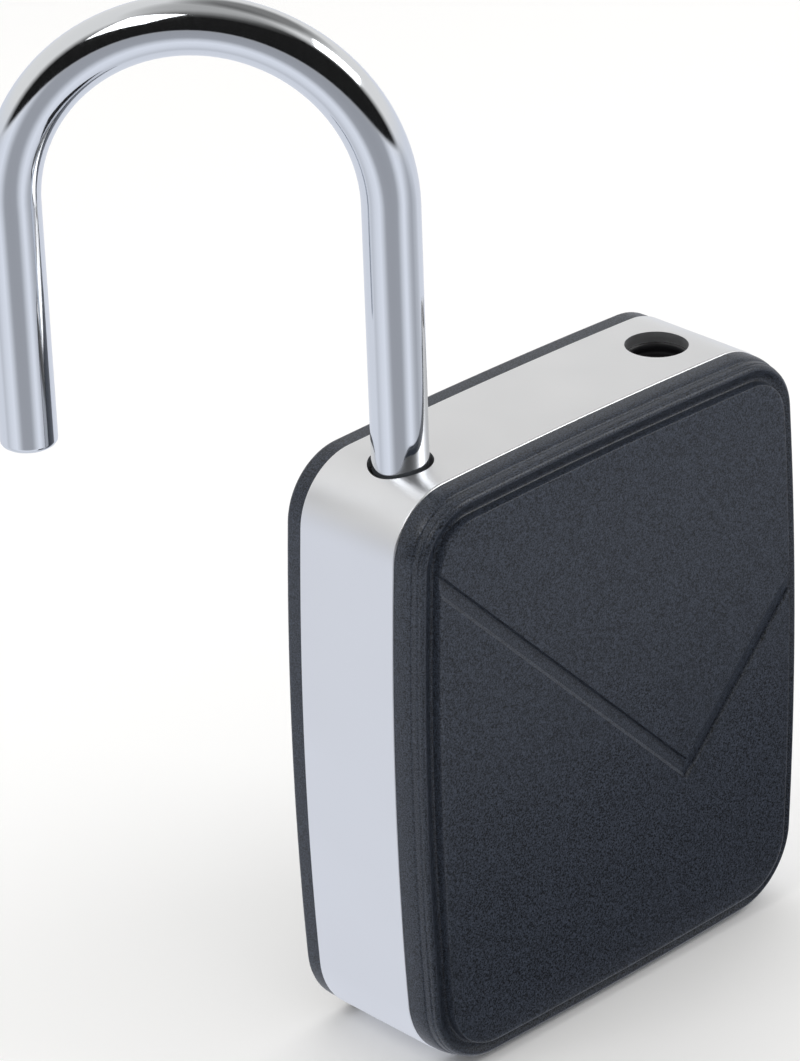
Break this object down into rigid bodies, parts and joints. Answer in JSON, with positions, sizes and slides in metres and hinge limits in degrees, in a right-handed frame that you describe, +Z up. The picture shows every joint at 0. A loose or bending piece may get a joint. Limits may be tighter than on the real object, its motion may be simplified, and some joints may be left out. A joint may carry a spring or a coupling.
{
  "type": "disc padlock",
  "caption": "Tall rectangular padlock with a satin metal band, dark front and back covers, and a lifting, swinging round shackle over a disc tumbler plug.",
  "frame": {"origin": "where the key enters: on the key plug's axis, at the lowest point of the block", "axes": "+Z up towards the shackle, +Y from the front cover to the back cover, +X from the heel leg to the toe hole"},
  "size_m": [0.1032, 0.0574, 0.1573],
  "materials": {
    "satin_aluminium": "satin anodised",
    "cover_plastic": "fine textured",
    "chromed_steel": "polished",
    "plain_steel": "machined",
    "spring_steel": "drawn",
    "turned_brass": "turned",
    "black_rubber": "matte",
    "black_nylon": "moulded"
  },
  "bodies": {
    "lock_body": {"body_block": "satin_aluminium", "front_cover": "cover_plastic", "back_cover": "cover_plastic", "front_cover_screws": "plain_steel", "heel_seal": "black_rubber", "heel_bush": "black_nylon", "toe_liner": "black_nylon", "retaining_pin": "plain_steel", "bolt_plate": "plain_steel", "bolt_plate_screws": "plain_steel", "plug_housing": "turned_brass", "housing_screw": "plain_steel", "keyhole_bezel": "plain_steel", "shackle_spring": "spring_steel"},
    "lift_cap": {"spring_cap": "turned_brass"},
    "shackle": {"shackle": "chromed_steel"},
    "bolt": {"lock_bolt": "plain_steel"},
    "key_plug": {"plug": "turned_brass", "plug_face": "plain_steel", "plug_clip": "spring_steel", "drive_cam": "plain_steel", "cam_cross_pin": "plain_steel", "disc_springs": "spring_steel"},
    "disc_1": {"disc_1": "turned_brass"},
    "disc_2": {"disc_2": "turned_brass"},
    "disc_3": {"disc_3": "turned_brass"},
    "disc_4": {"disc_4": "turned_brass"},
    "disc_5": {"disc_5": "turned_brass"},
    "disc_6": {"disc_6": "turned_brass"}
  },
  "joints": [
    {"name": "shackle_lift", "type": "slide", "parent": "lock_body", "child": "lift_cap", "axis": [0, 0, 1], "range_m": [-0.016, 0], "stiffness_N_per_m": 400, "springref_m": 0.02, "deforming": ["shackle_spring"]},
    {"name": "shackle_turn", "type": "hinge", "parent": "lift_cap", "child": "shackle", "pos_m": [-0.027, 0, 0.09], "axis": [0, 0, 1], "range_deg": [-131, 229]},
    {"name": "key_turn", "type": "hinge", "parent": "lock_body", "child": "key_plug", "pos_m": [0, 0, 0], "axis": [0, 0, 1], "range_deg": [0, 90]},
    {"name": "bolt_slide", "type": "slide", "parent": "lock_body", "child": "bolt", "axis": [1, 0, 0], "range_m": [-0.002, 0]},
    {"name": "disc_1_slide", "type": "slide", "parent": "key_plug", "child": "disc_1", "axis": [0, 1, 0], "range_m": [0, 0.0009], "stiffness_N_per_m": 150, "springref_m": 0.004},
    {"name": "disc_2_slide", "type": "slide", "parent": "key_plug", "child": "disc_2", "axis": [0, 1, 0], "range_m": [0, 0.0009], "stiffness_N_per_m": 150, "springref_m": 0.004},
    {"name": "disc_3_slide", "type": "slide", "parent": "key_plug", "child": "disc_3", "axis": [0, 1, 0], "range_m": [0, 0.0009], "stiffness_N_per_m": 150, "springref_m": 0.004},
    {"name": "disc_4_slide", "type": "slide", "parent": "key_plug", "child": "disc_4", "axis": [0, 1, 0], "range_m": [0, 0.0009], "stiffness_N_per_m": 150, "springref_m": 0.004},
    {"name": "disc_5_slide", "type": "slide", "parent": "key_plug", "child": "disc_5", "axis": [0, 1, 0], "range_m": [0, 0.0009], "stiffness_N_per_m": 150, "springref_m": 0.004},
    {"name": "disc_6_slide", "type": "slide", "parent": "key_plug", "child": "disc_6", "axis": [0, 1, 0], "range_m": [0, 0.0009], "stiffness_N_per_m": 150, "springref_m": 0.004}
  ],
  "couplings": [
    {"joint": "bolt_slide", "follows": "key_turn", "m_per_rad": -0.0012732}
  ]
}
